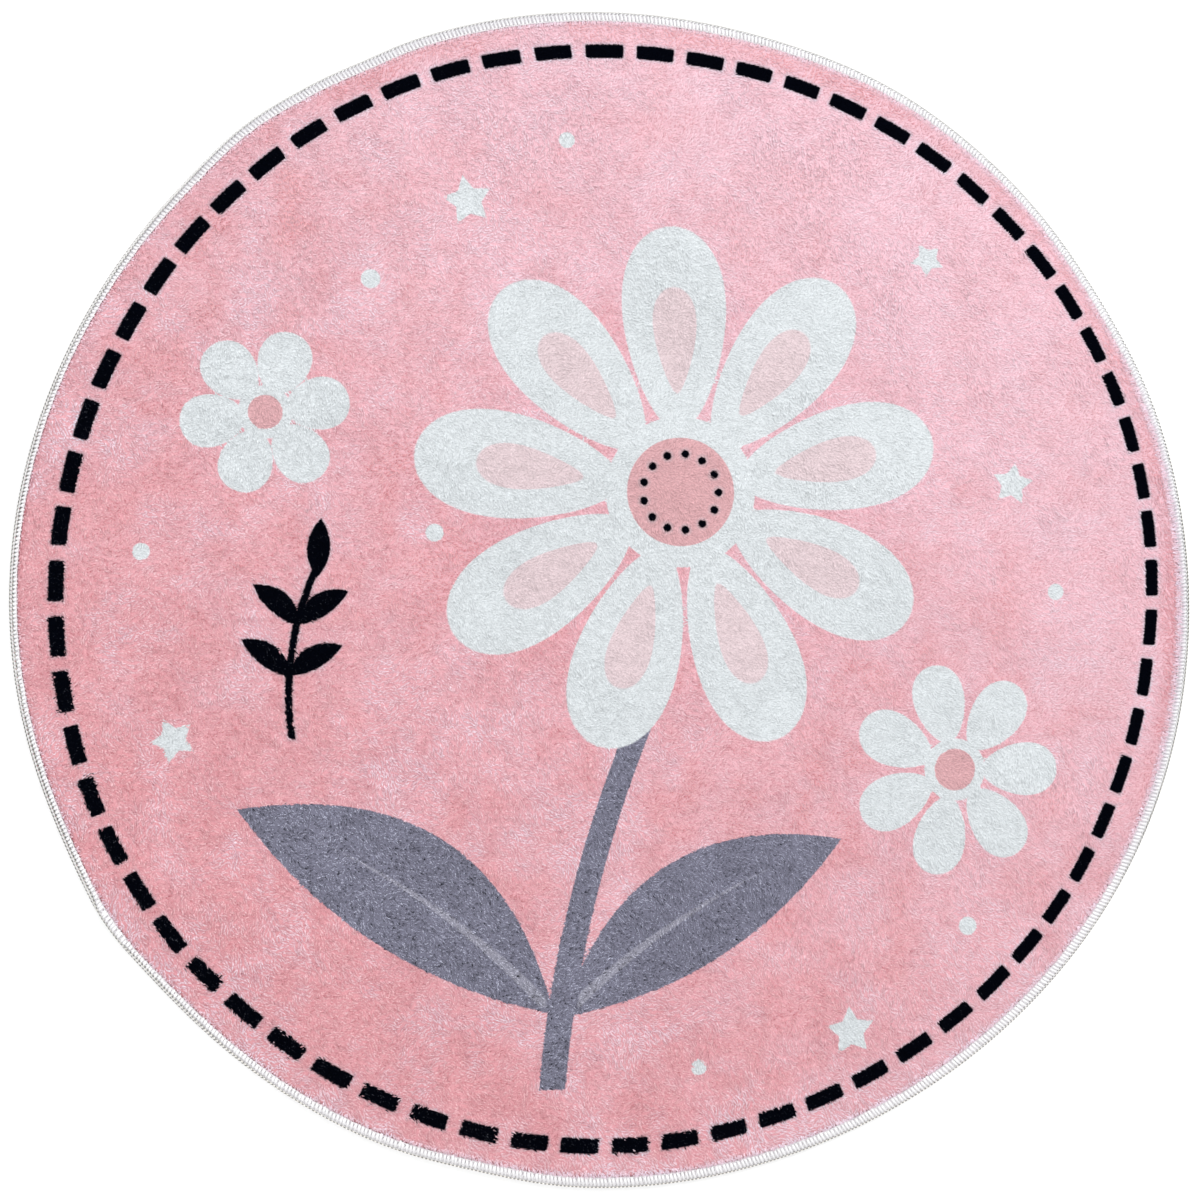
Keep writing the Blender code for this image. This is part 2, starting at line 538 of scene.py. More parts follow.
def frost(angle, inset):
    """Share of the unprinted whitish fibre that shows by the rim."""
    share = (
        0.10
        + 0.55 * bell(angle, 2.0, 20.0)
        + 0.35 * bell(angle, -98.0, 18.0)
        + 0.15 * bell(angle, -50.0, 28.0)
        + 0.10 * bell(angle, 50.0, 35.0)
        + 0.04 * bell(angle, -135.0, 25.0)
    ) * (1.0 - 0.95 * bell(angle, 165.0, 32.0)) * (1.0 - 0.65 * bell(angle, -138.0, 22.0))
    tight = bell(angle, 2.0, 24.0)
    near = np.clip((0.0148 - 0.0009 * tight - inset) / (0.0042 - 0.0009 * tight), 0.0, 1.25)
    far = np.clip((0.032 - inset) / 0.012, 0.0, 1.0) * (
        0.10 * bell(angle, 14.0, 44.0) + 0.05 * bell(angle, 90.0, 24.0) + 0.07 * bell(angle, 142.0, 38.0)
    )
    return np.clip(share * near**1.2 + far, 0.0, 0.85)


# ---------------------------------------------------------------- mesh making
def new_mesh(name, points, blocks, smooth=True):
    """A mesh object from points and blocks of faces, each block an array of faces with the same corner count."""
    mesh = bpy.data.meshes.new(name)
    corners = np.concatenate([b.reshape(-1) for b in blocks]).astype(np.int32)
    sizes = np.concatenate([np.full(len(b), b.shape[1]) for b in blocks]).astype(np.int32)
    starts = np.concatenate([[0], np.cumsum(sizes)[:-1]]).astype(np.int32)
    mesh.vertices.add(len(points))
    mesh.vertices.foreach_set("co", np.ascontiguousarray(points, np.float32).ravel())
    mesh.loops.add(len(corners))
    mesh.loops.foreach_set("vertex_index", corners)
    mesh.polygons.add(len(sizes))
    mesh.polygons.foreach_set("loop_start", starts)
    mesh.polygons.foreach_set("loop_total", sizes)
    mesh.update(calc_edges=True)
    mesh.validate()
    if smooth:
        mesh.shade_smooth()
    thing = bpy.data.objects.new(name, mesh)
    bpy.context.scene.collection.objects.link(thing)
    return thing


def add_uv(mesh, name, uv):
    layer = mesh.uv_layers.new(name=name)
    layer.uv.foreach_set("vector", np.ascontiguousarray(uv, np.float32).ravel())
    return layer


def add_plan_uv(thing, margin=0.004):
    """A map named OFBake from the piece's own plan, so a baked colour lands where the print is."""
    mesh = thing.data
    co = np.empty(len(mesh.vertices) * 3, np.float32)
    mesh.vertices.foreach_get("co", co)
    co = co.reshape(-1, 3)
    index = np.empty(len(mesh.loops), np.int32)
    mesh.loops.foreach_get("vertex_index", index)
    low, high = co.min(0), co.max(0)
    uv = (co[index, :2] - low[:2]) / (high[:2] - low[:2])
    add_uv(mesh, "OFBake", margin + uv * (1 - 2 * margin))


def unit(v):
    return v / np.maximum(np.linalg.norm(v, axis=-1, keepdims=True), 1e-12)


# ---------------------------------------------------------------- rug: backing and the bed of the pile
BED = 0.0056
BED_SECTION = (
    # inset, height: the bed that the tufts stand on, from the rim inwards
    (0.0095, 0.0043),
    (0.0098, 0.0054),
    (0.0122, 0.0056),
    (0.0165, BED),
)
RIM_SECTION = (
    # inset, height: underside, cut rim and the part under the threads
    (0.0105, 0.0),
    (0.0094, 0.0015),
    (0.0026, 0.0015),
    (0.0022, 0.00295),
    (0.0026, 0.0043),
)


def bed_height(x, y):
    """Height of the pile's bed, with the swells of the cloth and shallow brushed waves."""
    inset = inset_of(x, y)
    from_thread = inset - thread_end(angle_of(x, y)) + 0.0099
    rise = np.interp(from_thread, [p[0] for p in BED_SECTION], [p[1] for p in BED_SECTION])
    inside = np.clip((inset - 0.012) / 0.05, 0.0, 1.0)
    for cx, cy, spread, height in SWELLS:
        rise = rise + inside * height * np.exp(-((x - cx) ** 2 + (y - cy) ** 2) / (2 * spread**2))
    waves = 0.00016 * noise(x, y, 0.045, 21) + 0.00010 * noise(x, y, 0.016, 22)
    return rise + np.clip((inset - 0.010) / 0.01, 0.0, 1.0) * waves


def make_bed():
    rings = []
    count = 720
    for inset, height in RIM_SECTION:
        rings.append((count, inset, 1.0, height))
    for inset, height in BED_SECTION:
        rings.append((count, inset, 1.0, None))
    edge = BED_SECTION[-1][0]
    share, radius = 1.0, 0.48
    while radius > 0.02:
        step = 0.0080 if radius > 0.24 else 0.0085
        radius -= step
        share = radius / 0.48
        if radius < 0.48 * count / 720 * 0.52 and count > 45:
            count //= 2
        rings.append((count, edge, share, None))
    points, starts = [], []
    total = 0
    for n, inset, share, height in rings:
        angle = 360.0 * np.arange(n) / n
        if height is None and share == 1.0:
            inset = inset + thread_end(angle) - 0.0099
        x, y = at_rim(angle, inset, share)
        z = np.full(n, height) if height is not None else bed_height(x, y)
        points.append(np.column_stack([x, y, z]))
        starts.append(total)
        total += n
    x, y = at_rim(np.zeros(1), 0.0, 0.0)
    points.append(np.column_stack([x, y, bed_height(x, y)]))
    crown = total
    total += 1
    # underside, flat: fewer rings
    under = []
    n_prev = 720
    for share, n in ((0.86, 360), (0.66, 180), (0.44, 90), (0.22, 45)):
        angle = 360.0 * np.arange(n) / n
        x, y = at_rim(angle, RIM_SECTION[0][0], share)
        points.append(np.column_stack([x, y, np.zeros(n)]))
        under.append((n, total))
        total += n
    x, y = at_rim(np.zeros(1), 0.0, 0.0)
    points.append(np.column_stack([x, y, np.zeros(1)]))
    foot = total
    triangles, quads = [], []

    def bridge(n_out, out, n_in, inner, flip):
        i = np.arange(n_in)
        j = (i + 1) % n_in
        if n_in == n_out:
            face = np.column_stack([inner + i, out + i, out + j, inner + j])
            quads.append(face[:, ::-1] if flip else face)
        else:
            a, b, c = out + 2 * i, out + 2 * i + 1, out + (2 * i + 2) % n_out
            for face in (
                np.column_stack([inner + i, a, b]),
                np.column_stack([inner + i, b, inner + j]),
                np.column_stack([inner + j, b, c]),
            ):
                triangles.append(face[:, ::-1] if flip else face)

    for k in range(len(rings) - 1):
        bridge(rings[k][0], starts[k], rings[k + 1][0], starts[k + 1], False)
    n, last = rings[-1][0], starts[-1]
    i = np.arange(n)
    triangles.append(np.column_stack([np.full(n, crown), last + i, last + (i + 1) % n]))
    out_n, out = 720, starts[0]
    for n, start in under:
        bridge(out_n, out, n, start, True)
        out_n, out = n, start
    i = np.arange(out_n)
    triangles.append(np.column_stack([np.full(out_n, foot), out + (i + 1) % out_n, out + i]))
    points = np.concatenate(points)
    blocks = [np.concatenate(quads), np.concatenate(triangles)]
    thing = new_mesh("rug_plush_bed", points, blocks)
    # map: the top takes most of it, and the underside a small square beside it
    mesh = thing.data
    corner = np.concatenate([b.reshape(-1) for b in blocks])
    facing = np.concatenate(
        [
            np.repeat(
                np.cross(points[b[:, 1]] - points[b[:, 0]], points[b[:, 2]] - points[b[:, 0]])[:, 2] < -1e-12,
                b.shape[1],
            )
            for b in blocks
        ]
    )
    plan = points[corner, :2]
    top = 0.36 + plan * 0.70
    bottom = np.array([0.855, 0.855]) + plan * 0.27
    add_uv(mesh, "OFBake", np.where(facing[:, None], bottom, top))
    return thing


# ---------------------------------------------------------------- pile
NAP = math.radians(-25.0)      # general lie of the nap
TUFT_LONG, TUFT_WIDE = 0.0039, 0.00185
TUFTS = 165_000


def spikes(x, y, low, d, wide, rise, tip, high):
    """Corners, soft normals and faces of closed three-sided spikes, each from a root at x, y to its tip."""
    corners = (
        np.column_stack([x - d[:, 1] * wide / 2, y + d[:, 0] * wide / 2, low]),
        np.column_stack([x + d[:, 1] * wide / 2, y - d[:, 0] * wide / 2, low]),
        np.column_stack([x - d[:, 0] * wide * 0.2, y - d[:, 1] * wide * 0.2, low + rise]),
        np.column_stack([tip, high]),
    )
    points = np.stack(corners, 1)
    middle = points.mean(1, keepdims=True)
    normals = unit(unit(points - middle) * np.array([0.55, 0.55, 0.25]) + np.array([0.0, 0.0, 0.62]))
    faces = np.array([(0, 2, 3), (1, 3, 2), (0, 3, 1), (0, 1, 2)])
    return points, normals, faces


def spike_piece(name, points, normals, faces, colours):
    m = len(points)
    index = (4 * np.arange(m)[:, None, None] + faces[None]).reshape(-1, 3)
    thing = new_mesh(name, points.reshape(-1, 3), [index])
    thing.data.normals_split_custom_set_from_vertices(normals.reshape(-1, 3).tolist())
    for layer_name, values in colours.items():
        layer = thing.data.color_attributes.new(layer_name, "FLOAT_COLOR", "POINT")
        layer.data.foreach_set("color", values.astype(np.float32).ravel())
    add_plan_uv(thing)
    return thing


def leftness(x, y):
    """0 to 1 from the upper right to the lower left, where the light rakes the pile and its grain shows most."""
    return np.clip(0.5 - (x * 0.8 + y * 0.6) / 0.7, 0.0, 1.0)


def make_pile():
    """Tufts of combed fibre, each a closed three-sided spike that leans with the nap."""
    rng = np.random.default_rng(5)
    step = math.sqrt(0.768 / TUFTS / (math.sqrt(3) / 2))
    nx, ny = int(1.02 / step) + 2, int(1.02 / (step * math.sqrt(3) / 2)) + 2
    gx, gy = np.meshgrid(np.arange(nx), np.arange(ny))
    x = ((gx + 0.5 * (gy % 2)) * step - 0.51).ravel()
    y = (gy * step * math.sqrt(3) / 2 - 0.51).ravel()
    x = x + rng.uniform(-0.48, 0.48, x.size) * step
    y = y + rng.uniform(-0.48, 0.48, y.size) * step
    inset, angle = inset_of(x, y), angle_of(x, y)
    keep = inset > thread_end(angle)
    x, y, inset, angle = x[keep], y[keep], inset[keep], angle[keep]
    n = x.size
    left = leftness(x, y)
    end, loose = thread_end(angle), looseness(angle)
    # lie of the nap: broad drifts, brush marks and small swirls
    turn = (
        NAP
        + 0.45 * noise(x, y, 0.110, 31)
        + 0.50 * noise(x, y, 0.034, 32)
        + 0.75 * noise(x, y, 0.0085, 33)
        + rng.normal(0.0, 0.32, n)
    )
    # over the thread the pile falls outwards, except at the left
    rim = np.clip((end + 0.0040 - inset) / 0.0040, 0.0, 1.0)
    lean = np.radians(64.5 - 13.0 * rim + 5.0 * noise(x, y, 0.040, 34) + rng.normal(0.0, 6.0, n))
    long = TUFT_LONG * (1 + 0.10 * noise(x, y, 0.006, 35) + rng.normal(0.0, 0.12, n))
    long = long * (1.0 - 0.16 * rim * bell(angle, -118.0, 62.0))
    wide = TUFT_WIDE * rng.uniform(0.70, 1.2, n)
    d = np.column_stack([np.cos(turn), np.sin(turn)])
    out = unit(np.column_stack([x, y]))
    d = unit(d + out * (1.4 * rim * loose)[:, None])
    plan = long * np.sin(lean)
    # the tuft stands over its grid point, so its root is set back against the lie
    x, y = x - 0.45 * d[:, 0] * plan, y - 0.45 * d[:, 1] * plan
    back = np.maximum(end + 0.0001 - inset_of(x, y), 0.0)
    x, y = x - out[:, 0] * back, y - out[:, 1] * back
    tip = np.column_stack([x, y]) + d * plan[:, None]
    # neighbouring tips cling together
    tip[:, 0] += 0.00060 * noise(x, y, 0.0030, 36)
    tip[:, 1] += 0.00060 * noise(x, y, 0.0030, 37)
    # tips by the edging stay off the thread
    over = 0.0004 + loose * 0.0014 * rng.uniform(0.0, 1.0, n)
    tip -= out * np.maximum(end - over - inset_of(tip[:, 0], tip[:, 1]), 0.0)[:, None]
    bed = np.maximum(bed_height(x, y), 0.0053)
    points, normals, faces = spikes(x, y, bed - 0.0005, d, wide, 0.0005 + 0.357 * wide, tip, bed + long * np.cos(lean))

    # the print at every corner, moved a little tuft by tuft, more where the edge is ragged
    worn = np.clip(-(x * 0.6 + y * 0.8) / 0.40, 0.0, 1.0)
    ragged = np.clip(noise(x, y, 0.026, 41) - 0.15, 0.0, 1.0) * worn
    jump = rng.normal(0.0, 1.0, (2, n)) * (0.00008 + 0.00044 * worn + 0.0007 * ragged)
    px, py = points[:, :, 0] + jump[0][:, None], points[:, :, 1] + jump[1][:, None]
    waver = (0.00005 + 0.00012 * worn)[:, None]
    px = px + waver * noise(px, py, 0.0045, 11)
    py = py + waver * noise(px, py, 0.0045, 13)
    shapes = print_shapes(px.ravel(), py.ravel())
    print_a = np.stack([shapes["grey"], shapes["rib"], shapes["white"], np.ones(4 * n)], -1).reshape(n, 4, 4)
    print_b = np.stack([shapes["blush"], shapes["hub"], shapes["dark"], np.ones(4 * n)], -1).reshape(n, 4, 4)
    # random tone tuft by tuft, a touch paler at the lower left and darker round the middle, plus the painted shade and
    # light of rim_shade by the rim
    tone = (
        1.0
        + (0.026 + 0.036 * left) * noise(x, y, 0.0030, 38)
        + (0.010 + 0.022 * left) * noise(x, y, 0.022, 39)
        + 0.012 * left
        - 0.030 * np.exp(-((x + 0.04) ** 2 + (y + 0.08) ** 2) / 0.24**2)
        + rng.normal(0.0, 1.0, n) * (0.048 + 0.052 * left)
        - rim_shade(angle, inset)
    )
    # corner by corner: painted shade darker down in the pile and painted light at the tips, except where it lies open
    # by the thread
    painted_depth_shade = np.array([0.78, 0.78, 0.91, 1.12])
    open_by = 0.75 * rim * (1.0 - bell(angle, 168.0, 45.0)) * (1.0 - 0.5 * bell(angle, 0.0, 24.0))
    painted_depth_shade = painted_depth_shade[None] + (1.0 - painted_depth_shade[None]) * open_by[:, None]
    nap = np.ones((n, 4, 4))
    nap[:, :, 0] = paleness(x, y)[:, None]
    nap[:, :, 1] = np.clip(tone[:, None] * painted_depth_shade, 0.5, 1.18)
    middle_inset = inset_of((x + tip[:, 0]) / 2, (y + tip[:, 1]) / 2)
    nap[:, :, 2] = (frost(angle, middle_inset) * rng.uniform(0.6, 1.4, n))[:, None]
    nap[:, :, 3] = (0.080 + 0.160 * left)[:, None]

    names = ("right_top", "left_top", "left_bottom", "right_bottom")
    quarter = np.where(y >= 0, np.where(x >= 0, 0, 1), np.where(x < 0, 2, 3))
    made = []
    for q, word in enumerate(names):
        pick = np.nonzero(quarter == q)[0]
        colours = {"print_a": print_a[pick], "print_b": print_b[pick], "nap": nap[pick]}
        made.append(spike_piece(f"rug_pile_{word}", points[pick], normals[pick], faces, colours))
    return made


FRINGE = 6800


def make_fringe():
    """Thin loose fibres of the pile that stray out over the edging thread."""
    rng = np.random.default_rng(6)
    angle = rng.uniform(-180.0, 180.0, FRINGE * 3)
    chance = 0.08 + 0.42 * (1.0 - bell(angle, 168.0, 45.0)) * (1.0 - 0.75 * bell(angle, -128.0, 36.0)) + 0.22 * looseness(angle)
    angle = angle[rng.uniform(0.0, 1.0, angle.size) < chance][:FRINGE]
    n = angle.size
    loose, end = looseness(angle), thread_end(angle)
    inset = end + 0.0001 + (0.0022 + 0.0026 * loose) * rng.uniform(0.0, 1.0, n) ** 1.5
    x, y = at_rim(angle, inset)
    out = unit(np.column_stack([x, y]))
    d = unit(out + np.array([-1.0, 1.0]) * out[:, ::-1] * rng.normal(0.0, 0.55, (n, 1)))
    reach = np.minimum(inset - end, 0.0024) + 0.0003 + (0.0003 + 0.0036 * loose) * rng.uniform(0.0, 1.0, n) ** 1.2
    tip = np.column_stack([x, y]) + d * reach[:, None]
    tip -= out * np.maximum(end - 0.0044 - inset_of(tip[:, 0], tip[:, 1]), 0.0)[:, None]
    low = rng.uniform(0.0058, 0.0066, n)
    high = rng.uniform(0.0074, 0.0084, n)
    wide = rng.uniform(0.00055, 0.00100, n)
    points, normals, faces = spikes(x, y, low, d, wide, 0.00030 + 0 * wide, tip, high)
    far = np.full((n, 4, 4), 0.05)
    nap = np.ones((n, 4, 4))
    nap[:, :, 0] = paleness(x, y)[:, None]
    nap[:, :, 1] = (rng.normal(1.07, 0.07, n) - 0.05 * loose)[:, None]
    nap[:, :, 2] = np.clip(rng.normal(0.40, 0.20, n) + 0.22 * loose, 0.05, 0.95)[:, None] + np.array([-0.12, -0.12, -0.06, 0.10])
    nap[:, :, 3] = 0.08
    return spike_piece("rug_pile_fringe", points, normals, faces, {"print_a": far, "print_b": far, "nap": nap})


# ---------------------------------------------------------------- thread
STITCHES = 945


def tubes(name, paths, radii, reference, sides, ring=False, turns=1.0):
    """Threads as one mesh. paths is (threads, points, 3), radii broadcasts to (threads, points), reference is a
    direction across each thread. A ring closes on itself."""
    k, p, _ = paths.shape
    if ring:
        ahead, behind = np.roll(paths, -1, 1), np.roll(paths, 1, 1)
    else:
        ahead = np.concatenate([paths[:, 1:], paths[:, -1:]], 1)
        behind = np.concatenate([paths[:, :1], paths[:, :-1]], 1)
    along = unit(ahead - behind)
    reference = np.broadcast_to(reference, paths.shape)
    first = unit(reference - (reference * along).sum(-1, keepdims=True) * along)
    second = np.cross(along, first)
    radii = np.broadcast_to(radii, (k, p))
    beta = 2 * np.pi * np.arange(sides) / sides
    points = (
        paths[:, :, None]
        + radii[:, :, None, None]
        * (first[:, :, None] * np.cos(beta)[:, None] + second[:, :, None] * np.sin(beta)[:, None])
    ).reshape(-1, 3)
    t = np.arange(k)[:, None, None]
    i = np.arange(p if ring else p - 1)[None, :, None]
    s = np.arange(sides)[None, None, :]
    nxt = (i + 1) % p
    snx = (s + 1) % sides
    base = t * p * sides
    quads = np.stack(
        np.broadcast_arrays(
            base + i * sides + s, base + i * sides + snx, base + nxt * sides + snx, base + nxt * sides + s
        ),
        -1,
    ).reshape(-1, 4)
    blocks = [quads]
    if not ring:
        start = (np.arange(k) * p * sides)[:, None] + np.arange(sides)[None, ::-1]
        end = (np.arange(k) * p * sides + (p - 1) * sides)[:, None] + np.arange(sides)[None, :]
        blocks.append(np.concatenate([start, end]))
    thing = new_mesh(name, points, blocks)
    # thread map: u along the thread in units of its twist, v around it
    length = np.linalg.norm(np.diff(paths, axis=1), axis=-1)
    u = np.concatenate([np.zeros((k, 1)), np.cumsum(length, 1)], 1) / 0.0012 * turns
    u_here = np.broadcast_to(u[:, : (p if ring else p - 1), None], (k, p if ring else p - 1, sides))
    if ring:
        closing = u[:, -1:] + (u[:, 1:2] - u[:, :1])
        u_next = np.concatenate([u[:, 1:], closing], 1)
    else:
        u_next = u[:, 1:]
    u_next = np.broadcast_to(u_next[:, :, None], u_here.shape)
    v_here = np.broadcast_to(np.arange(sides)[None, None, :] / sides, u_here.shape)
    v_next = v_here + 1.0 / sides
    uv = np.stack(
        [np.stack([u_here, v_here], -1), np.stack([u_here, v_next], -1), np.stack([u_next, v_next], -1), np.stack([u_next, v_here], -1)],
        -2,
    ).reshape(-1, 2)
    if not ring:
        uv = np.concatenate([uv, np.zeros((2 * k * sides, 2))])
    add_uv(thing.data, "thread", uv)
    return thing


def rim_path(angle, inset, height):
    x, y = at_rim(angle, inset)
    return np.stack([x, y, np.broadcast_to(height, x.shape)], -1)


JOIN_AT, JOIN_WIDE = -147.5, 2.2     # where the edging's two ends overlap


def joined(angle):
    """1 where the edging's start and finish overlap."""
    return bell(angle, JOIN_AT, JOIN_WIDE)


def on_top(angle):
    """How far the looped chain of the edging lies on top rather than on the side, 0 to 1, round the rug."""
    base = 0.06 + 0.48 / (1.0 + np.exp((away_from(angle, 45.0) - 68.0) / 9.0)) + 0.10 * bell(angle, 0.0, 18.0)
    left = (1.0 - 0.7 * bell(angle, -112.0, 22.0)) / (1.0 + np.exp((away_from(angle, 190.0) - 63.0) / 14.0))
    return (1.0 - joined(angle)) * (base + (1.0 - base) * left)


def outwards(angle):
    """How much further out than the outline's own line the threads bulge: at the bottom of the rug."""
    return 0.00045 * bell(angle, -75.0, 60.0)


def pulled(inset, angle):
    """Insets of a thread with its inner end brought to where it shows."""
    end = thread_end(angle) - 0.00105
    return np.where(inset > 0.003, 0.003 + (inset - 0.003) * (end - 0.003) / 0.00605, inset)


def between(t, side, top):
    """Rows for the chain on the side and on top, blended for each stitch."""
    side, top = np.array(side), np.array(top)
    t = np.asarray(t)[:, None, None]
    return side[None] * (1 - t) + top[None] * t


# Where the parts of the chain lie: inset and height with the chain on the side, and on top
CHAIN_LOOP = ((0.00135, 0.00430), (0.00310, 0.00565))
CHAIN_UPPER = ((0.00064, 0.00460), (0.00440, 0.00590))
CHAIN_LOWER = ((0.00095, 0.00170), (0.00175, 0.00525))


def chain_place(t, rows):
    """Inset and height of a part of the chain, which bulges out where it turns over the rim's corner."""
    bulge = 4 * t * (1 - t) * 0.00078
    inset = rows[0][0] * (1 - t) + rows[1][0] * t - bulge
    height = rows[0][1] * (1 - t) + rows[1][1] * t + bulge
    return inset, height


def make_edging():
    rng = np.random.default_rng(8)
    pitch = 360.0 / STITCHES
    per_mm = 360.0 / (2 * math.pi * 498.0)
    angle = pitch * np.arange(STITCHES) + rng.normal(0.0, 0.05 * pitch, STITCHES)
    turn = np.radians(angle)
    sideways = np.stack([-np.sin(turn), np.cos(turn), 0 * turn], -1)[:, None]
    t, overlap = on_top(angle), joined(angle)[:, None]
    under_chain = t * t

    # the wraps that show: inner end in the pile, over the top and down the outer side
    rows = between(
        under_chain,
        (
            # inset, height, along (mm, counter-clockwise), radius
            (0.00905, 0.0050, -0.80, 0.00090),
            (0.00872, 0.0060, -0.74, 0.00118),
            (0.00700, 0.0062, -0.45, 0.00124),
            (0.00480, 0.0063, 0.00, 0.00116),
            (0.00300, 0.0059, 0.45, 0.00104),
            (0.00210, 0.0048, 0.80, 0.00088),
            (0.00175, 0.0034, 0.95, 0.00078),
        ),
        (
            (0.00905, 0.0045, -0.80, 0.00085),
            (0.00868, 0.0059, -0.72, 0.00128),
            (0.00760, 0.0063, -0.48, 0.00138),
            (0.00660, 0.0060, -0.15, 0.00124),
            (0.00520, 0.0048, 0.20, 0.00100),
            (0.00280, 0.0042, 0.60, 0.00088),
            (0.00160, 0.0033, 0.90, 0.00078),
        ),
    )
    count = rows.shape[1]
    slack = np.linspace(1.0, 0.1, count)
    a = angle[:, None] + (rows[:, :, 2] + rng.normal(0.0, 0.12, (STITCHES, 1))) * per_mm
    a = a + overlap * rng.normal(0.0, 0.55, (STITCHES, 1)) * per_mm
    ripple = 0.00020 * (np.sin(1.9 * angle) + np.sin(3.1 * angle + 1.0))[:, None]
    reach = rng.normal(0.0, 0.00030, (STITCHES, 1)) + ripple + overlap * 0.0003
    inset = pulled(rows[:, :, 0], angle[:, None]) + reach * slack
    outer = np.array([0.0, 0.0, 0.0, 0.2, 0.6, 1.0, 1.0])
    inset = inset - outwards(angle)[:, None] * outer
    height = rows[:, :, 1] + rng.normal(0.0, 0.00008, (STITCHES, 1)) + overlap * 0.0005 * slack
    height = height + 0.8 * outwards(angle)[:, None] * outer
    fuller = 0.10 * bell(angle, -110.0, 40.0)[:, None] * np.array([1.0, 1.0, 1.0, 0.9, 0.9, 0.6, 0.3])
    radii = rows[:, :, 3] * (rng.uniform(0.93, 1.07, (STITCHES, 1)) + overlap * 0.15 + fuller)
    wraps = tubes("edging_wraps", rim_path(a, inset, height), radii, sideways, 6)

    # legs that cross back between and under them
    rows = between(
        under_chain,
        ((0.00860, 0.0046, 1.55, 0.00080), (0.00650, 0.0052, 0.95, 0.00092), (0.00400, 0.0054, 0.00, 0.00092), (0.00190, 0.0040, -0.25, 0.00080)),
        ((0.00860, 0.0047, 1.55, 0.00080), (0.00720, 0.0052, 0.70, 0.00095), (0.00520, 0.0045, 0.00, 0.00085), (0.00200, 0.0036, -0.25, 0.00075)),
    )
    a = angle[:, None] + (rows[:, :, 2] + 1.66) * per_mm
    raised = (0.0006 * bell(angle, -115.0, 60.0))[:, None] * np.array([1.0, 1.0, 1.0, 0.0])
    bulged = outwards(angle)[:, None] * np.array([0.0, 0.0, 0.2, 1.0])
    places = rim_path(a, pulled(rows[:, :, 0], a) - bulged, rows[:, :, 1] + raised + 0.8 * bulged)
    legs = tubes("edging_legs", places, rows[:, :, 3], sideways, 4)

    # wraps on the underside
    rows = between(0 * t, ((0.00140, 0.0026, 0.9), (0.00250, 0.0011, 0.4), (0.00700, 0.00075, -0.3), (0.00880, 0.0013, -0.6)), np.zeros((4, 3)))
    a = angle[:, None] + (rows[:, :, 2] + 0.8) * per_mm
    under = tubes("edging_under", rim_path(a, rows[:, :, 0], rows[:, :, 1]), np.full((1, 4), 0.00072), sideways, 3)

    # the chain: a loop lying along the rim at every stitch, between two thin threads
    along = np.array([-1.42, -0.88, 0.0, 0.88, 1.42])
    plump = np.array([0.00030, 0.00076, 0.00090, 0.00076, 0.00030])
    along = along[None] * (1.0 + 0.16 * (1.0 - t))[:, None]
    a = angle[:, None] + (along + rng.normal(0.0, 0.10, (STITCHES, 1)) + 0.6) * per_mm
    inset, height = chain_place(t, CHAIN_LOOP)
    tilt = rng.normal(0.10, 0.06, (STITCHES, 1)) * along * 0.001
    tucked = bell(angle, -100.0, 38.0)
    inset = (inset - outwards(angle) + 0.0004 * tucked)[:, None] + tilt + rng.normal(0.0, 0.00007, (STITCHES, 1))
    height = height + 0.8 * outwards(angle)
    radii = plump[None] * ((0.80 + 0.20 * t - 0.18 * tucked)[:, None] + rng.uniform(-0.06, 0.06, (STITCHES, 1)))
    radii = np.maximum(radii, 0.00045 * (1.0 - t)[:, None])
    up = np.array([0.0, 0.0, 1.0])
    loops = tubes("edging_loops", rim_path(a, inset, height[:, None] + 0 * inset), radii, up, 6)

    # thin threads on both sides of the chain, drawn in between the loops
    steps = STITCHES * 3
    fine = 360.0 * np.arange(steps) / steps
    pulse = np.cos(2 * np.pi * (np.arange(steps) / 3 - 0.18))
    t = on_top(fine)
    strands = []
    for rows, way, over in ((CHAIN_UPPER, 1.0, 1.0), (CHAIN_LOWER, -1.0, 0.0)):
        inset, height = chain_place(t, rows)
        # halfway round the corner the inner one lies over the loops
        height = height + over * (0.0005 * 4 * t * (1 - t) + 0.0003 * (1 - t))
        inset = inset + over * (0.0005 * bell(fine, -85.0, 55.0) + 0.0004 * bell(fine, 104.0, 26.0))
        inset, height = inset - outwards(fine), height + 0.5 * outwards(fine)
        bend = way * 0.00016 * pulse + rng.normal(0.0, 0.00003, steps)
        strands.append(rim_path(fine, inset + bend * t, height + bend * (1 - t)))
    thick = 0.00033 + 0.00008 * t + 0.00015 * bell(fine, 0.0, 17.0) + 0.00010 * bell(fine, -80.0, 55.0)
    thick = thick + 0.00007 * bell(fine, 60.0, 40.0)
    chain = tubes("edging_chain", np.stack(strands), thick[None], up, 4, ring=True)

    # the needle thread along the inner ends, pulled into scallops
    inset = thread_end(fine) - 0.00125 + 0.00030 * pulse + rng.normal(0.0, 0.00012, steps) + 0.0003 * joined(fine)
    height = 0.0062 + 0.0004 * joined(fine) + 0.0003 * bell(fine, -95.0, 75.0)
    needle = tubes("edging_needle", rim_path(fine, inset, height)[None], np.full((1, 1), 0.00062), up, 4, ring=True)

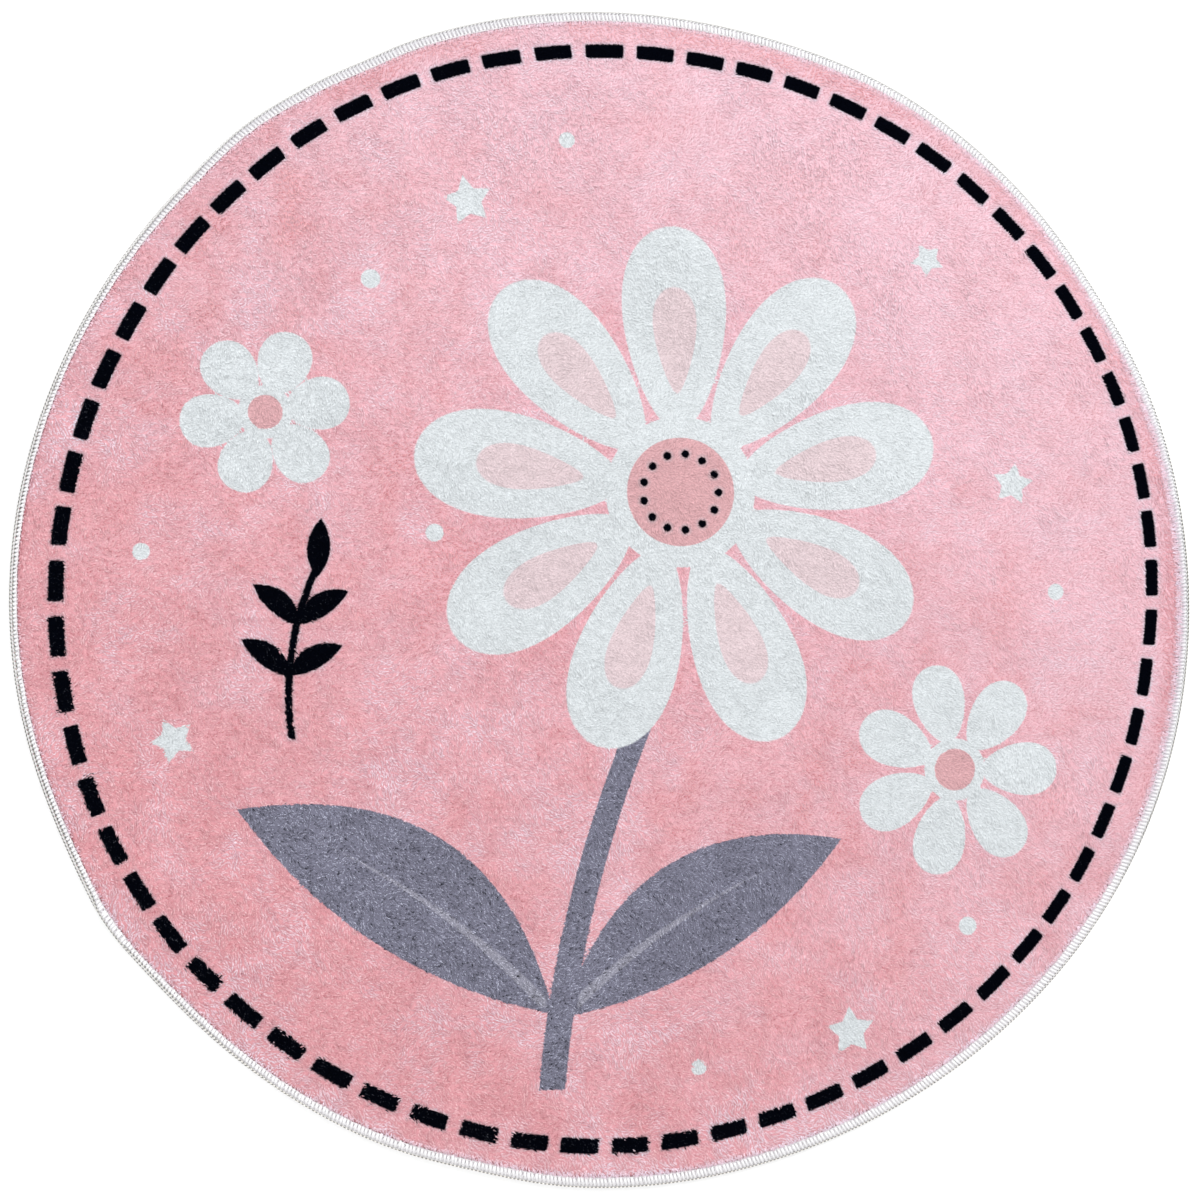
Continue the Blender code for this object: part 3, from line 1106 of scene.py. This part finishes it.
    # a soft core under the threads, so no gap opens between them
    steps = 720
    fine = 360.0 * np.arange(steps) / steps
    rows = between(
        on_top(fine) ** 2,
        ((0.0088, 0.0048), (0.0064, 0.0056), (0.0034, 0.0055), (0.0021, 0.0042), (0.0019, 0.0022), (0.0030, 0.0011), (0.0084, 0.0011)),
        ((0.0088, 0.0048), (0.0070, 0.0056), (0.0048, 0.0045), (0.0023, 0.0038), (0.0020, 0.0022), (0.0030, 0.0011), (0.0084, 0.0011)),
    )
    k = rows.shape[1]
    bulged = [share * outwards(fine) for share in (0.0, 0.0, 0.3, 1.7, 1.6, 0.8, 0.0)]
    points = np.concatenate([rim_path(fine, pulled(rows[:, c, 0], fine) - bulged[c], rows[:, c, 1]) for c in range(k)])
    i, j = np.arange(steps), (np.arange(steps) + 1) % steps
    faces = []
    for c in range(k):
        d = (c + 1) % k
        faces.append(np.column_stack([c * steps + i, d * steps + i, d * steps + j, c * steps + j]))
    core = new_mesh("edging_core", points, [np.concatenate(faces)])
    return wraps, legs, under, loops, chain, needle, core


# ---------------------------------------------------------------- materials
def new_material(name):
    material = bpy.data.materials.new(name)
    material.use_nodes = True
    tree = material.node_tree
    surface = tree.nodes["Principled BSDF"]
    return material, tree, surface


def link(tree, a, b):
    tree.links.new(a, b)


def mix(tree, factor, a, b, blend="MIX"):
    node = tree.nodes.new("ShaderNodeMix")
    node.data_type = "RGBA"
    node.blend_type = blend
    for value, socket in ((factor, node.inputs[0]), (a, node.inputs[6]), (b, node.inputs[7])):
        if isinstance(value, Wire):
            link(tree, value.socket, socket)
        elif isinstance(value, bpy.types.NodeSocket):
            link(tree, value, socket)
        elif isinstance(value, tuple):
            socket.default_value = (*value, 1.0)
        else:
            socket.default_value = value
    return node.outputs[2]


def noise_node(tree, vector, scale, detail=2.0, roughness=0.5, distortion=0.0):
    node = tree.nodes.new("ShaderNodeTexNoise")
    node.inputs["Scale"].default_value = scale
    node.inputs["Detail"].default_value = detail
    node.inputs["Roughness"].default_value = roughness
    node.inputs["Distortion"].default_value = distortion
    if vector is not None:
        link(tree, vector, node.inputs["Vector"])
    return node


def remap(tree, value, a0, a1, b0, b1):
    node = tree.nodes.new("ShaderNodeMapRange")
    node.inputs["From Min"].default_value = a0
    node.inputs["From Max"].default_value = a1
    node.inputs["To Min"].default_value = b0
    node.inputs["To Max"].default_value = b1
    link(tree, value, node.inputs["Value"])
    return node.outputs["Result"]


def grey_of(tree, value):
    node = tree.nodes.new("ShaderNodeCombineColor")
    for k in range(3):
        link(tree, value, node.inputs[k])
    return node.outputs[0]


def dyed(tree, pale, distance, soft, tone):
    """Ground colour with the print's layers over it, from distances to the shapes."""
    colour = mix(tree, pale, PINK_DEEP, PINK_PALE)
    # painted shade in the hollows between pink fibres, carried with random tone in the tone, is redder than it is dark
    deeper = tree.nodes.new("ShaderNodeCombineColor")
    for k, more in enumerate((-0.35, 0.45, 0.37)):
        link(tree, ((tone - 1.0) * more + 1.0).socket, deeper.inputs[k])
    colour = mix(tree, 1.0, colour, deeper.outputs[0], "MULTIPLY")
    for name, dye, wider, softer in LAYERS:
        blend = "MULTIPLY" if dye is HALO else "MIX"
        colour = mix(tree, cover(distance[name] - wider, soft * softer), colour, dye, blend)
    return colour


def print_group():
    """Node group that gives the printed colour at a plan position."""
    group = bpy.data.node_groups.new("rug_print", "ShaderNodeTree")
    group.interface.new_socket("x", in_out="INPUT", socket_type="NodeSocketFloat")
    group.interface.new_socket("y", in_out="INPUT", socket_type="NodeSocketFloat")
    group.interface.new_socket("nap", in_out="INPUT", socket_type="NodeSocketFloat")
    group.interface.new_socket("tone", in_out="INPUT", socket_type="NodeSocketFloat")
    group.interface.new_socket("Color", in_out="OUTPUT", socket_type="NodeSocketColor")
    start, end = group.nodes.new("NodeGroupInput"), group.nodes.new("NodeGroupOutput")
    x, y = Wire(group, start.outputs["x"]), Wire(group, start.outputs["y"])
    # painted light: the bed's pink is paler towards the upper right, as in paleness
    drift = cover(-(x * 0.6 + y * 0.8), 0.42)
    pale = _node("ADD", drift, Wire(group, start.outputs["nap"]), clamp=True)
    colour = dyed(group, pale, print_shapes(x, y), 0.00045, Wire(group, start.outputs["tone"]))
    link(group, colour, end.inputs["Color"])
    return group


def bed_material():
    material, tree, surface = new_material("printed_plush_bed")
    where = tree.nodes.new("ShaderNodeTexCoord").outputs["Object"]
    apart = tree.nodes.new("ShaderNodeSeparateXYZ")
    link(tree, where, apart.inputs[0])
    drift = remap(tree, noise_node(tree, where, 14.0, 2.0).outputs["Fac"], 0.3, 0.7, -0.12, 0.12)
    group = tree.nodes.new("ShaderNodeGroup")
    group.node_tree = print_group()
    link(tree, apart.outputs["X"], group.inputs["x"])
    link(tree, apart.outputs["Y"], group.inputs["y"])
    link(tree, drift, group.inputs["nap"])
    fibre = noise_node(tree, where, 900.0, 2.0, 0.6, 0.6)
    # painted shade in the hollows of the fibre relief, from the same noise as the bump; through the tone it also
    # deepens the pink
    painted_hollow_shade = remap(tree, fibre.outputs["Fac"], 0.3, 0.7, 0.76, 1.0)
    link(tree, painted_hollow_shade, group.inputs["tone"])
    shade = grey_of(tree, painted_hollow_shade)
    colour = mix(tree, 1.0, group.outputs["Color"], shade, "MULTIPLY")
    link(tree, colour, surface.inputs["Base Color"])
    surface.inputs["Roughness"].default_value = 0.95
    surface.inputs["Specular IOR Level"].default_value = 0.025
    bump = tree.nodes.new("ShaderNodeBump")
    bump.inputs["Distance"].default_value = 0.0006
    bump.inputs["Strength"].default_value = 0.7
    link(tree, fibre.outputs["Fac"], bump.inputs["Height"])
    link(tree, bump.outputs["Normal"], surface.inputs["Normal"])
    return material


def backing_material():
    """Plain woven backing on the underside."""
    material, tree, surface = new_material("woven_backing")
    where = tree.nodes.new("ShaderNodeTexCoord").outputs["Object"]
    weave = []
    for direction in ("X", "Y"):
        wave = tree.nodes.new("ShaderNodeTexWave")
        wave.wave_type, wave.bands_direction, wave.wave_profile = "BANDS", direction, "SIN"
        wave.inputs["Scale"].default_value = 180.0
        wave.inputs["Distortion"].default_value = 0.6
        wave.inputs["Detail"].default_value = 1.0
        link(tree, where, wave.inputs["Vector"])
        weave.append(Wire(tree, wave.outputs["Fac"]))
    relief = most(weave[0], weave[1])
    soft = noise_node(tree, where, 30.0, 3.0)
    tone = mix(tree, Wire(tree, soft.outputs["Fac"]), (0.62, 0.60, 0.57), (0.74, 0.72, 0.69))
    # painted shade in the grooves of the weave, following the bump
    shade = grey_of(tree, remap(tree, relief.socket, 0.0, 1.0, 0.78, 1.0))
    link(tree, mix(tree, 1.0, tone, shade, "MULTIPLY"), surface.inputs["Base Color"])
    surface.inputs["Roughness"].default_value = 0.9
    surface.inputs["Specular IOR Level"].default_value = 0.2
    bump = tree.nodes.new("ShaderNodeBump")
    bump.inputs["Distance"].default_value = 0.0003
    bump.inputs["Strength"].default_value = 0.8
    link(tree, relief.socket, bump.inputs["Height"])
    link(tree, bump.outputs["Normal"], surface.inputs["Normal"])
    return material


def pile_material():
    material, tree, surface = new_material("printed_plush_pile")
    found = {}
    strength = None
    for layer, names in (("print_a", ("grey", "rib", "white")), ("print_b", ("blush", "hub", "dark")), ("nap", ("pale", "tone", "frost"))):
        source = tree.nodes.new("ShaderNodeAttribute")
        source.attribute_name = layer
        apart = tree.nodes.new("ShaderNodeSeparateXYZ")
        link(tree, source.outputs["Vector"], apart.inputs[0])
        for name, socket in zip(names, ("X", "Y", "Z")):
            found[name] = Wire(tree, apart.outputs[socket])
        strength = Wire(tree, source.outputs["Alpha"])
    where = tree.nodes.new("ShaderNodeTexCoord").outputs["Object"]
    fibre = noise_node(tree, where, 1050.0, 1.0, 0.5)
    fleck = Wire(tree, remap(tree, fibre.outputs["Fac"], 0.3, 0.7, -1.0, 1.0)) * strength + 1.0
    tone = found["tone"] * fleck
    colour = dyed(tree, found["pale"], found, 0.0003, tone)
    colour = mix(tree, found["frost"] * (1.0 - cover(found["dark"], 0.0006)), colour, FROST)
    # painted glints: on grey prints the fibre tips glint, on the dark ones a few do, and on white ones the painted
    # shade of the hollows shows less
    white = cover(found["white"], 0.0006)
    grey = cover(found["grey"], 0.0006) * (1.0 - white)
    colour = mix(tree, _node("MULTIPLY", tone - 1.01, 1.4, clamp=True) * grey, colour, GREY_GLINT)
    glint = _node("MULTIPLY", tone - 1.18, 6.0, clamp=True) * cover(found["dark"], 0.0006) * 0.09
    colour = mix(tree, glint, colour, GREY_GLINT)
    # gain on the tone by print, for its random part and its painted shade alike
    tone_and_shade_gain = grey * 1.3 + 1.0 - white * 0.4
    shade = grey_of(tree, ((tone - 1.0) * tone_and_shade_gain + 1.0).socket)
    link(tree, mix(tree, 1.0, colour, shade, "MULTIPLY"), surface.inputs["Base Color"])
    surface.inputs["Roughness"].default_value = 0.9
    surface.inputs["Specular IOR Level"].default_value = 0.025
    return material


def thread_material(name, colour, gap, inner=None, hazy=None, left=None, low=None, top=None, twist=1.0, dashes=0.0):
    """Textured polyester thread: plies twisted round each other, a fine fuzz, and tone that drifts along the edge.
    gap is the darker colour in the grooves between the plies, painted shade there. inner is the tint towards a wrap's
    inner end, by the pile, and hazy the one at the right of the rug, where the pile lies over it: lilac fuzz and
    painted shade from the pile. left, low and top are the tones towards those sides of the rug. dashes is how much
    painted shade darkens the thread once a stitch, in the crevice where the next loop pulls it in."""
    material, tree, surface = new_material(name)
    uv = tree.nodes.new("ShaderNodeUVMap")
    uv.uv_map = "thread"
    apart = tree.nodes.new("ShaderNodeSeparateXYZ")
    link(tree, uv.outputs["UV"], apart.inputs[0])
    u, v = Wire(tree, apart.outputs["X"]), Wire(tree, apart.outputs["Y"])
    ply = cosine((u * twist + v * 2.0) * (2 * math.pi)) * 0.5 + 0.5
    where = tree.nodes.new("ShaderNodeTexCoord").outputs["Object"]
    fuzz = noise_node(tree, where, 2600.0, 2.0, 0.6)
    drift = noise_node(tree, where, 90.0, 2.0)
    # painted shade: the grooves between the plies take the darker gap colour
    tone = mix(tree, ply, gap, colour)
    # a greyer, pinker tint towards a wrap's inner end, by the pile
    if inner is not None:
        tone = mix(tree, _node("SUBTRACT", 1.0, u * 0.35, clamp=True), tone, inner)
    place = tree.nodes.new("ShaderNodeSeparateXYZ")
    link(tree, where, place.inputs[0])
    x, y = Wire(tree, place.outputs["X"]), Wire(tree, place.outputs["Y"])
    if left is not None:
        tone = mix(tree, _node("MULTIPLY", -x - 0.30, 6.0, clamp=True) * 0.8, tone, left)
    if low is not None:
        tone = mix(tree, _node("MULTIPLY", -y - 0.20, 6.0, clamp=True), tone, low)
    if top is not None:
        tone = mix(tree, _node("MULTIPLY", y + x * 0.15 - 0.10, 6.0, clamp=True), tone, top)
    if dashes:
        stitch = 2 * math.pi * 0.498 / STITCHES / 0.0012
        wave = _node("ADD", cosine(u * (2 * math.pi / stitch)) * 1.4, 0.5, clamp=True)
        here = _node("MULTIPLY", -y + 0.36, 8.0, clamp=True)
        # painted shade in the crevice once a stitch, where the next loop pulls the thread in
        painted_crevice_dash = (wave - 0.54) * here * dashes + 1.0
        tone = mix(tree, 1.0, tone, grey_of(tree, painted_crevice_dash.socket), "MULTIPLY")
    if hazy is not None:
        # painted shade dulls the thread along the lit upper right; greyer outside the inner ends along the upper left
        lit_side_painted_shade = _node("MULTIPLY", x * 0.77 + y * 0.64 - 0.25, 6.5, clamp=True)
        tone = mix(tree, lit_side_painted_shade * 0.75, tone, (0.780, 0.785, 0.795))
        upper = _node("MULTIPLY", y * 0.6 - x * 0.8 - 0.25, 10.0, clamp=True) * _node("MULTIPLY", y, 6.0, clamp=True)
        tone = mix(tree, upper * _node("MULTIPLY", u - 1.6, 0.8, clamp=True), tone, (0.705, 0.698, 0.720))
        # painted light whitens the wraps' inner ends towards the top, against the pile's shade
        high = _node("MULTIPLY", y - 0.13, 9.0, clamp=True) * _node("SUBTRACT", 1.15, u * 0.75, clamp=True)
        tone = mix(tree, high, tone, (0.945, 0.935, 0.950))
        # painted light whitens the inner ends towards the bottom as well
        bottom = _node("MULTIPLY", -y - 0.12, 6.0, clamp=True)
        tone = mix(tree, bottom * _node("SUBTRACT", 1.4, u * 0.35, clamp=True), tone, (0.960, 0.948, 0.960))
        # darker on the outer parts of the wraps towards the bottom, most round the bottom middle
        tone = mix(tree, bottom * _node("MULTIPLY", u - 3.2, 0.6, clamp=True), tone, (0.790, 0.778, 0.790))
        darker_bottom_middle = _node("SUBTRACT", 1.25, size_of(x + 0.12) * 3.6, clamp=True) * _node("MULTIPLY", u - 2.4, 0.5, clamp=True)
        tone = mix(tree, bottom * darker_bottom_middle, tone, (0.740, 0.725, 0.740))
        # lilac fuzz and painted shade from the pile over the wraps' inner ends at the right
        right = _node("MULTIPLY", x - 0.43, 20.0, clamp=True) * _node("SUBTRACT", 1.6, u * 0.36, clamp=True)
        tone = mix(tree, right, tone, hazy)
    shade = grey_of(tree, remap(tree, fuzz.outputs["Fac"], 0.3, 0.7, 0.92, 1.03))
    tone = mix(tree, 1.0, tone, shade, "MULTIPLY")
    shade = grey_of(tree, remap(tree, drift.outputs["Fac"], 0.3, 0.7, 0.955, 1.02))
    link(tree, mix(tree, 1.0, tone, shade, "MULTIPLY"), surface.inputs["Base Color"])
    surface.inputs["Roughness"].default_value = 0.8
    surface.inputs["Specular IOR Level"].default_value = 0.25
    bump = tree.nodes.new("ShaderNodeBump")
    bump.inputs["Distance"].default_value = 0.00025
    bump.inputs["Strength"].default_value = 0.7
    height = ply + Wire(tree, fuzz.outputs["Fac"]) * 0.6
    link(tree, height.socket, bump.inputs["Height"])
    link(tree, bump.outputs["Normal"], surface.inputs["Normal"])
    return material


def core_material():
    material, tree, surface = new_material("edging_core")
    where = tree.nodes.new("ShaderNodeTexCoord").outputs["Object"]
    fuzz = noise_node(tree, where, 900.0, 3.0, 0.6)
    # lavender grey: the pink pile under the threads, darkened by painted shade where it shows between them
    link(tree, mix(tree, Wire(tree, fuzz.outputs["Fac"]), (0.76, 0.72, 0.76), (0.87, 0.84, 0.87)), surface.inputs["Base Color"])
    surface.inputs["Roughness"].default_value = 0.9
    surface.inputs["Specular IOR Level"].default_value = 0.15
    return material


def floor_material():
    material, tree, surface = new_material("studio_floor")
    where = tree.nodes.new("ShaderNodeTexCoord").outputs["Object"]
    soft = noise_node(tree, where, 1.5, 2.0)
    link(tree, mix(tree, Wire(tree, soft.outputs["Fac"]), (0.895, 0.895, 0.895), (0.91, 0.91, 0.905)), surface.inputs["Base Color"])
    surface.inputs["Roughness"].default_value = 0.85
    surface.inputs["Specular IOR Level"].default_value = 0.1
    return material


# ---------------------------------------------------------------- camera, light and floor
scene = bpy.context.scene
scene.view_settings.view_transform = "Standard"
camera_data = bpy.data.cameras.new("camera")
camera_data.lens, camera_data.sensor_width = 39.0, 36.0
camera_data.clip_start, camera_data.clip_end = 0.05, 50.0
camera = bpy.data.objects.new("camera", camera_data)
camera.location = (-0.14289, -0.02017, 1.09281)
camera.rotation_euler = (0.015, -0.10904, 0.0)
scene.collection.objects.link(camera)
scene.camera = camera

world = bpy.data.worlds.new("studio")
world.use_nodes = True
world.node_tree.nodes["Background"].inputs["Color"].default_value = (1.0, 1.0, 1.0, 1.0)
world.node_tree.nodes["Background"].inputs["Strength"].default_value = 1.12
scene.world = world


def area_light(name, location, target, size, power, colour=(1.0, 1.0, 1.0)):
    data = bpy.data.lights.new(name, "AREA")
    data.shape, data.size, data.energy, data.color = "DISK", size, power, colour
    lamp = bpy.data.objects.new(name, data)
    lamp.location = location
    lamp.rotation_euler = (Vector(target) - Vector(location)).to_track_quat("-Z", "Y").to_euler()
    scene.collection.objects.link(lamp)


area_light("softbox_key", (1.15, 1.35, 1.55), (0.12, 0.15, 0.0), 0.9, 20.0)
area_light("softbox_fill", (-1.4, 0.4, 1.7), (0.0, 0.0, 0.0), 1.4, 6.8)

floor_mesh = bpy.data.meshes.new("floor")
floor_mesh.from_pydata(
    [(-4, -4, -0.0004), (4, -4, -0.0004), (4, 4, -0.0004), (-4, 4, -0.0004)], [], [(0, 1, 2, 3)]
)
floor = bpy.data.objects.new("floor", floor_mesh)
scene.collection.objects.link(floor)
floor_mesh.materials.append(floor_material())

# ---------------------------------------------------------------- the pieces
bed = make_bed()
bed.data.materials.append(bed_material())
bed.data.materials.append(backing_material())
side = np.empty(len(bed.data.polygons) * 3, np.float32)
bed.data.polygons.foreach_get("normal", side)
bed.data.polygons.foreach_set("material_index", (side.reshape(-1, 3)[:, 2] < -0.5).astype(np.int32))

pile = [*make_pile(), make_fringe()]
plush = pile_material()
for piece in pile:
    piece.data.materials.append(plush)

wraps, legs, under, loops, chain, needle, core = make_edging()
white_thread = thread_material(
    "edging_thread", (0.858, 0.860, 0.868), (0.795, 0.788, 0.805), (0.868, 0.842, 0.864), (0.670, 0.600, 0.660)
)
needle_thread = thread_material("edging_thread_needle", (0.900, 0.900, 0.905), (0.845, 0.835, 0.845))
loop_thread = thread_material("edging_thread_loops", (0.880, 0.880, 0.880), (0.800, 0.795, 0.790), left=(0.700, 0.690, 0.690))
# legs and underside wraps: a darker, lilac copy of the white thread, painted shade where they lie deep between the
# wraps
shaded_deep_thread = thread_material("edging_thread_deep_shaded", (0.840, 0.825, 0.850), (0.780, 0.755, 0.790), low=(0.810, 0.797, 0.815))
grey_thread = thread_material(
    "edging_thread_chain", (0.480, 0.475, 0.440), (0.330, 0.320, 0.295),
    low=(0.615, 0.590, 0.550), top=(0.680, 0.675, 0.650), dashes=1.15,
)
wraps.data.materials.append(white_thread)
needle.data.materials.append(needle_thread)
loops.data.materials.append(loop_thread)
for piece in (legs, under):
    piece.data.materials.append(shaded_deep_thread)
chain.data.materials.append(grey_thread)
core.data.materials.append(core_material())

for piece in [bed, *pile]:
    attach(piece, "root")
edging = [wraps, legs, under, loops, chain, needle, core]
for piece in edging:
    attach(piece, "root")
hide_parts("rug")
for piece in edging:
    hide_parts("overlock_edging")
